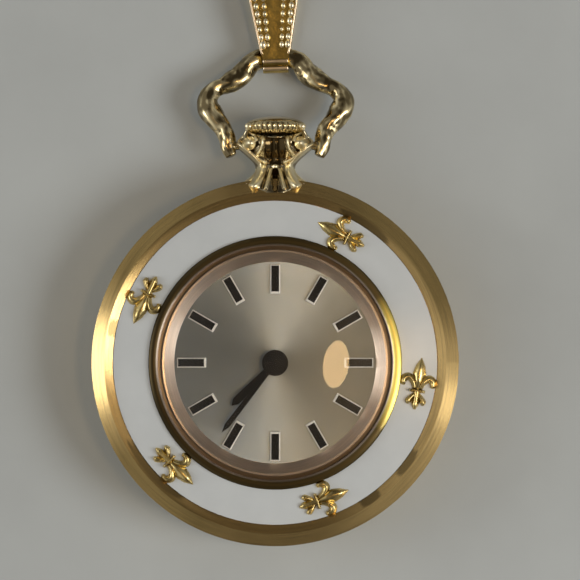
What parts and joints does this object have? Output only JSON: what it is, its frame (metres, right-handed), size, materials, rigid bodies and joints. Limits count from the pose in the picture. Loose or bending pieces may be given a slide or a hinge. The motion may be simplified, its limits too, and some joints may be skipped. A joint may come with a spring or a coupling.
{
  "type": "pendant watch",
  "caption": "Round mechanical pendant watch lying on its back: enamelled bezel, baton dial, crown at twelve inside a scrolled bow, folded bail, full hand-wound movement.",
  "frame": {"origin": "middle of the case back's flat outer face", "axes": "+Z out of the dial, +Y to twelve o'clock and along the pendant, +X to three o'clock"},
  "size_m": [0.0284, 0.0463, 0.0073],
  "materials": {
    "yellow_gold_brushed": "gold-plated, circular brushing",
    "rose_gold": "gold-plated, polished and chased",
    "yellow_gold_polished": "gold-plated, polished",
    "white_enamel": "fired enamel, glossy",
    "acrylic_crystal": "clear domed acrylic",
    "pink_gold_ring": "polished",
    "dial_silver": "silvered brass, sunburst brushing",
    "marker_silver": "polished",
    "black_lacquer": "glossy black",
    "nickel_plated_brass": "nickel-plated brass",
    "brass": "gilt brass",
    "steel": "polished steel",
    "balance_alloy": "gilt, polished",
    "blued_steel": "blued",
    "ruby": "synthetic ruby"
  },
  "bodies": {
    "case": {"case_back": "yellow_gold_brushed", "case_middle": "yellow_gold_brushed", "bezel": "yellow_gold_brushed", "enamel_ring": "white_enamel", "fleur_ornaments": "yellow_gold_polished", "crystal": "acrylic_crystal", "crystal_ring": "pink_gold_ring", "dial": "dial_silver", "hour_markers": "marker_silver", "marker_inlays": "black_lacquer", "movement_ring": "nickel_plated_brass", "main_plate": "nickel_plated_brass", "barrel_bridge": "nickel_plated_brass", "train_bridge": "nickel_plated_brass", "pallet_bridge": "nickel_plated_brass", "balance_cock": "nickel_plated_brass", "bridge_screws": "steel", "bearing_jewels": "ruby", "hairspring_stud": "steel", "hairspring": "blued_steel", "regulator": "steel", "click_spring": "steel", "crown_wheel_core": "steel", "setting_jumper": "nickel_plated_brass", "pendant_neck": "rose_gold"},
    "minute": {"centre_pinion": "steel", "centre_wheel": "brass", "cannon_pinion": "steel", "minute_hand": "black_lacquer"},
    "hour": {"hour_wheel": "brass", "hour_hand": "black_lacquer"},
    "minute_work": {"minute_wheel": "brass"},
    "setting_work": {"setting_wheel": "steel"},
    "barrel": {"barrel_drum": "brass", "barrel_cover": "brass", "mainspring": "steel"},
    "third": {"third_wheel": "brass", "third_pinion": "steel"},
    "fourth": {"fourth_wheel": "brass", "fourth_pinion": "steel"},
    "escape": {"escape_wheel": "steel", "escape_pinion": "steel"},
    "pallet": {"pallet_fork": "steel", "pallet_stones": "ruby"},
    "balance": {"balance_wheel": "balance_alloy", "balance_staff": "steel", "roller": "steel"},
    "winding": {"winding_pinion": "steel"},
    "crown_work": {"crown_wheel": "steel"},
    "ratchet": {"ratchet_wheel": "steel", "ratchet_screw": "steel", "barrel_arbor": "steel"},
    "crown": {"crown": "rose_gold", "winding_stem": "steel"},
    "clutch": {"clutch_wheel": "steel"},
    "setting_lever": {"setting_lever": "steel"},
    "yoke": {"yoke": "steel"},
    "click": {"click": "steel"},
    "bow": {"bow": "rose_gold"},
    "bail": {"bail": "yellow_gold_polished"}
  },
  "joints": [
    {"name": "minute_hand_spin", "type": "hinge", "parent": "case", "child": "minute", "pos_m": [0, 0, 0.0056], "axis": [0, 0, -1], "continuous": true},
    {"name": "hour_hand_spin", "type": "hinge", "parent": "case", "child": "hour", "pos_m": [0, 0, 0.0053], "axis": [0, 0, -1], "continuous": true},
    {"name": "minute_wheel_spin", "type": "hinge", "parent": "case", "child": "minute_work", "pos_m": [0.00178, 0.00129, 0.0041], "axis": [0, 0, -1], "continuous": true},
    {"name": "setting_wheel_spin", "type": "hinge", "parent": "case", "child": "setting_work", "pos_m": [0, 0.00338, 0.004], "axis": [0, 0, -1], "continuous": true},
    {"name": "barrel_spin", "type": "hinge", "parent": "case", "child": "barrel", "pos_m": [-0.00395, 0.00144, 0.003], "axis": [0, 0, -1], "continuous": true},
    {"name": "third_wheel_spin", "type": "hinge", "parent": "case", "child": "third", "pos_m": [0.00271, 0.00099, 0.0028], "axis": [0, 0, -1], "continuous": true},
    {"name": "fourth_wheel_spin", "type": "hinge", "parent": "case", "child": "fourth", "pos_m": [0.00337, -0.00148, 0.0028], "axis": [0, 0, -1], "continuous": true},
    {"name": "escape_wheel_spin", "type": "hinge", "parent": "case", "child": "escape", "pos_m": [0.00293, -0.00394, 0.003], "axis": [0, 0, -1], "continuous": true},
    {"name": "pallet_swing", "type": "hinge", "parent": "case", "child": "pallet", "pos_m": [0.001, -0.00446, 0.003], "axis": [0, 0, 1], "range_deg": [-5, 5]},
    {"name": "balance_swing", "type": "hinge", "parent": "case", "child": "balance", "pos_m": [-0.00132, -0.00508, 0.0025], "axis": [0, 0, 1], "range_deg": [-270, 270], "stiffness_Nm_per_rad": 0.000000033},
    {"name": "stem_spin", "type": "hinge", "parent": "case", "child": "winding", "pos_m": [0, 0.0065, 0.0029], "axis": [0, 1, 0], "continuous": true},
    {"name": "crown_wheel_spin", "type": "hinge", "parent": "case", "child": "crown_work", "pos_m": [0, 0.00467, 0.0015], "axis": [0, 0, 1], "continuous": true},
    {"name": "ratchet_spin", "type": "hinge", "parent": "case", "child": "ratchet", "pos_m": [-0.00395, 0.00144, 0.0015], "axis": [0, 0, 1], "continuous": true},
    {"name": "crown_pull", "type": "slide", "parent": "winding", "child": "crown", "axis": [0, 1, 0], "range_m": [0, 0.0007]},
    {"name": "clutch_slide", "type": "slide", "parent": "winding", "child": "clutch", "axis": [0, -1, 0], "range_m": [0, 0.00048]},
    {"name": "setting_lever_turn", "type": "hinge", "parent": "case", "child": "setting_lever", "pos_m": [0.00187, 0.00765, 0.004], "axis": [0, 0, -1], "range_deg": [0, 21.23]},
    {"name": "yoke_turn", "type": "hinge", "parent": "case", "child": "yoke", "pos_m": [-0.00148, 0.00541, 0.004], "axis": [0, 0, -1], "range_deg": [0, 18.41]},
    {"name": "click_turn", "type": "hinge", "parent": "case", "child": "click", "pos_m": [-0.00607, 0.00483, 0.0015], "axis": [0, 0, -1], "range_deg": [0, 8], "stiffness_Nm_per_rad": 0.000000001},
    {"name": "bow_swing", "type": "hinge", "parent": "case", "child": "bow", "pos_m": [0, 0.0168, 0.0029], "axis": [1, 0, 0], "range_deg": [-85, 113]},
    {"name": "bail_swing", "type": "hinge", "parent": "bow", "child": "bail", "pos_m": [0, 0.02374, 0.0012], "axis": [1, 0, 0], "range_deg": [-100, 70]}
  ],
  "couplings": [
    {"joint": "hour_hand_spin", "follows": "minute_hand_spin", "ratio": 0.083333},
    {"joint": "minute_wheel_spin", "follows": "minute_hand_spin", "ratio": -0.33333},
    {"joint": "setting_wheel_spin", "follows": "minute_hand_spin", "ratio": 0.5},
    {"joint": "barrel_spin", "follows": "minute_hand_spin", "ratio": -0.16667},
    {"joint": "third_wheel_spin", "follows": "minute_hand_spin", "ratio": -8},
    {"joint": "fourth_wheel_spin", "follows": "minute_hand_spin", "ratio": 60},
    {"joint": "escape_wheel_spin", "follows": "minute_hand_spin", "ratio": -600},
    {"joint": "crown_wheel_spin", "follows": "stem_spin", "ratio": 0.66667},
    {"joint": "ratchet_spin", "follows": "stem_spin", "ratio": -0.36364},
    {"joint": "clutch_slide", "follows": "crown_pull", "ratio": 0.68571},
    {"joint": "setting_lever_turn", "follows": "crown_pull", "rad_per_m": 529.34},
    {"joint": "yoke_turn", "follows": "crown_pull", "rad_per_m": 459.12}
  ]
}
